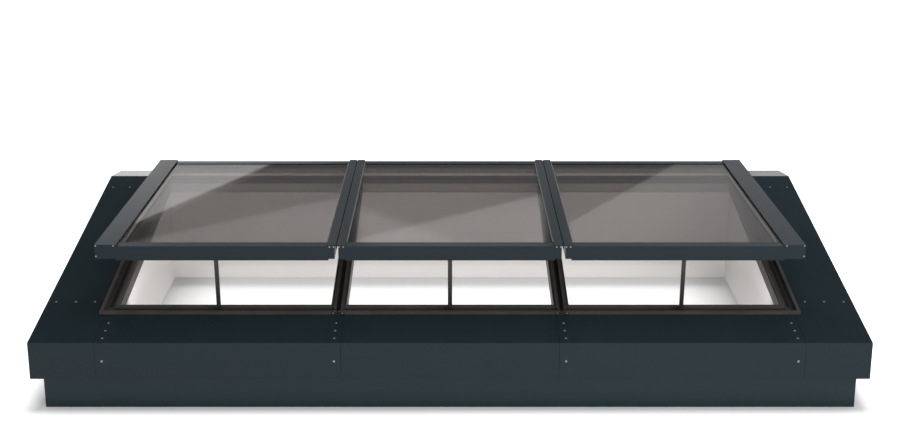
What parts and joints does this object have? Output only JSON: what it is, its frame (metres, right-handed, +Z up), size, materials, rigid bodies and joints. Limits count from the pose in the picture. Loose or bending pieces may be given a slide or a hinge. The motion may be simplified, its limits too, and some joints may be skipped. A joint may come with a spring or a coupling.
{
  "type": "modular roof skylight",
  "caption": "Mono-pitch roof skylight: insulated wedge kerb with folded metal cladding, module frames and top-hung glazed sashes opened by chain drives.",
  "frame": {"origin": "centre of the kerb's footprint, on the roof deck", "axes": "+X across the modules, +Y up the slope from the low eaves side to the hinge side, +Z up"},
  "size_m": [3.651, 1.999, 0.685],
  "materials": {
    "timber": "planed laminated softwood",
    "insulation": "rigid foam board under black underlay membrane",
    "plinth_paint": "smooth matt anthracite powder coat",
    "cladding_paint": "smooth matt anthracite powder coat",
    "sash_paint": "fine satin anthracite powder coat",
    "lining_paint": "white matt lacquered board",
    "frame_composite": "black-brown pultruded profile with a slight sheen",
    "rubber": "matt black extruded rubber",
    "drive_housing": "black moulded housing",
    "chain_steel": "blackened steel",
    "fitting_steel": "zinc-plated steel",
    "screw_steel": "bright stainless steel",
    "tinted_glass": "neutral brown-grey solar control glass"
  },
  "bodies": {
    "curb": {"sole_frame": "timber", "core_front": "insulation", "core_back": "insulation", "core_left": "insulation", "core_right": "insulation", "plinth_front": "plinth_paint", "plinth_back": "plinth_paint", "plinth_left": "plinth_paint", "plinth_right": "plinth_paint", "lining_front": "lining_paint", "lining_back": "lining_paint", "lining_left": "lining_paint", "lining_right": "lining_paint", "cladding_corner_front_left": "cladding_paint", "cladding_corner_front_right": "cladding_paint", "cladding_corner_back_left": "cladding_paint", "cladding_corner_back_right": "cladding_paint", "cladding_front_left": "cladding_paint", "cladding_front_middle": "cladding_paint", "cladding_front_right": "cladding_paint", "cladding_side_left": "cladding_paint", "cladding_side_right": "cladding_paint", "cladding_back": "cladding_paint", "cladding_screws": "screw_steel", "frame_left": "frame_composite", "frame_middle": "frame_composite", "frame_right": "frame_composite", "mullion_seals": "rubber", "chain_drives": "drive_housing", "hinge_brackets": "fitting_steel"},
    "sash_left": {"sash_left_stile_left": "sash_paint", "sash_left_stile_right": "sash_paint", "sash_left_front_rail": "sash_paint", "sash_left_back_rail": "sash_paint", "sash_left_glass": "tinted_glass", "sash_left_gasket": "rubber", "sash_left_end_caps": "sash_paint", "sash_left_hinges": "fitting_steel", "sash_left_fork": "fitting_steel"},
    "chain_left": {"chain_left": "chain_steel"},
    "sash_middle": {"sash_middle_stile_left": "sash_paint", "sash_middle_stile_right": "sash_paint", "sash_middle_front_rail": "sash_paint", "sash_middle_back_rail": "sash_paint", "sash_middle_glass": "tinted_glass", "sash_middle_gasket": "rubber", "sash_middle_end_caps": "sash_paint", "sash_middle_hinges": "fitting_steel", "sash_middle_fork": "fitting_steel"},
    "chain_middle": {"chain_middle": "chain_steel"},
    "sash_right": {"sash_right_stile_left": "sash_paint", "sash_right_stile_right": "sash_paint", "sash_right_front_rail": "sash_paint", "sash_right_back_rail": "sash_paint", "sash_right_glass": "tinted_glass", "sash_right_gasket": "rubber", "sash_right_end_caps": "sash_paint", "sash_right_hinges": "fitting_steel", "sash_right_fork": "fitting_steel"},
    "chain_right": {"chain_right": "chain_steel"}
  },
  "joints": [
    {"name": "sash_left_tilt", "type": "hinge", "parent": "curb", "child": "sash_left", "pos_m": [0, 0.73248, 0.61904], "axis": [-1, 0, 0], "range_deg": [-9.5, 0]},
    {"name": "chain_left_travel", "type": "slide", "parent": "curb", "child": "chain_left", "axis": [0, -0.087, 0.9962], "range_m": [-0.24263, 0]},
    {"name": "sash_middle_tilt", "type": "hinge", "parent": "curb", "child": "sash_middle", "pos_m": [0, 0.73248, 0.61904], "axis": [-1, 0, 0], "range_deg": [-9.5, 0]},
    {"name": "chain_middle_travel", "type": "slide", "parent": "curb", "child": "chain_middle", "axis": [0, -0.087, 0.9962], "range_m": [-0.24263, 0]},
    {"name": "sash_right_tilt", "type": "hinge", "parent": "curb", "child": "sash_right", "pos_m": [0, 0.73248, 0.61904], "axis": [-1, 0, 0], "range_deg": [-9.5, 0]},
    {"name": "chain_right_travel", "type": "slide", "parent": "curb", "child": "chain_right", "axis": [0, -0.087, 0.9962], "range_m": [-0.24263, 0]}
  ],
  "couplings": [
    {"joint": "chain_left_travel", "follows": "sash_left_tilt", "m_per_rad": 1.4633},
    {"joint": "chain_middle_travel", "follows": "sash_middle_tilt", "m_per_rad": 1.4633},
    {"joint": "chain_right_travel", "follows": "sash_right_tilt", "m_per_rad": 1.4633}
  ]
}
